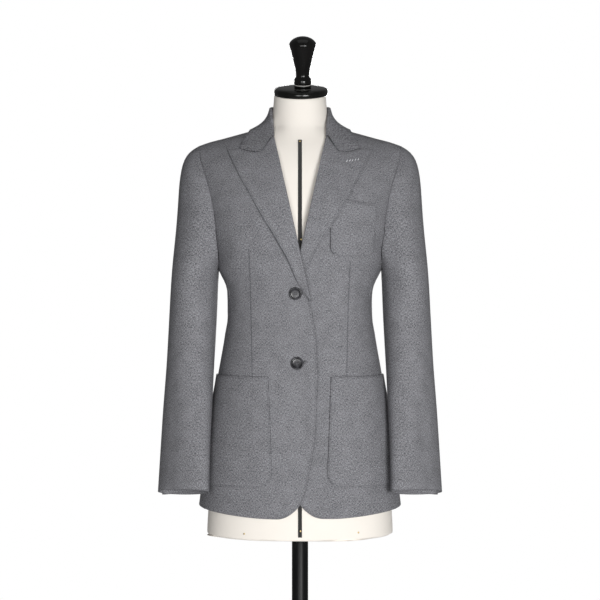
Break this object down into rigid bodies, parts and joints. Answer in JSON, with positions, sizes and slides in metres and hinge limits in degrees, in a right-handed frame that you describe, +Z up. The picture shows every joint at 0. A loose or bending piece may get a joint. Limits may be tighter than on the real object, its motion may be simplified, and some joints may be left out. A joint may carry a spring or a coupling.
{
  "type": "single breasted blazer on a limbless dress form",
  "caption": "Single breasted blazer with peak lapels, patch pockets and rounded fronts, worn by a limbless dress form on a pole with a round floor plate.",
  "frame": {"origin": "middle of the floor plate's underside, on the pole's axis", "axes": "+Z up along the pole, the garment's front faces -Y, the wearer's left is +X"},
  "size_m": [0.5168, 0.36, 1.4137],
  "materials": {
    "wool": "matte",
    "horn": "satin",
    "jersey": "matte",
    "ribbon": "matte",
    "lacquer": "gloss",
    "steel": "satin"
  },
  "bodies": {
    "root": {"front_right": "wool", "front_left": "wool", "side_right": "wool", "side_left": "wool", "back_right": "wool", "back_left": "wool", "lapel_right": "wool", "lapel_left": "wool", "collar": "wool", "sleeve_top_right": "wool", "sleeve_top_left": "wool", "sleeve_under_right": "wool", "sleeve_under_left": "wool", "pocket_right": "wool", "pocket_left": "wool", "pocket_chest": "wool", "button_upper": "horn", "button_lower": "horn", "form_body": "jersey", "form_tape": "ribbon", "neck_cap": "lacquer", "neck_knob": "lacquer", "pole": "steel", "pole_socket": "steel", "base": "steel"}
  },
  "joints": []
}
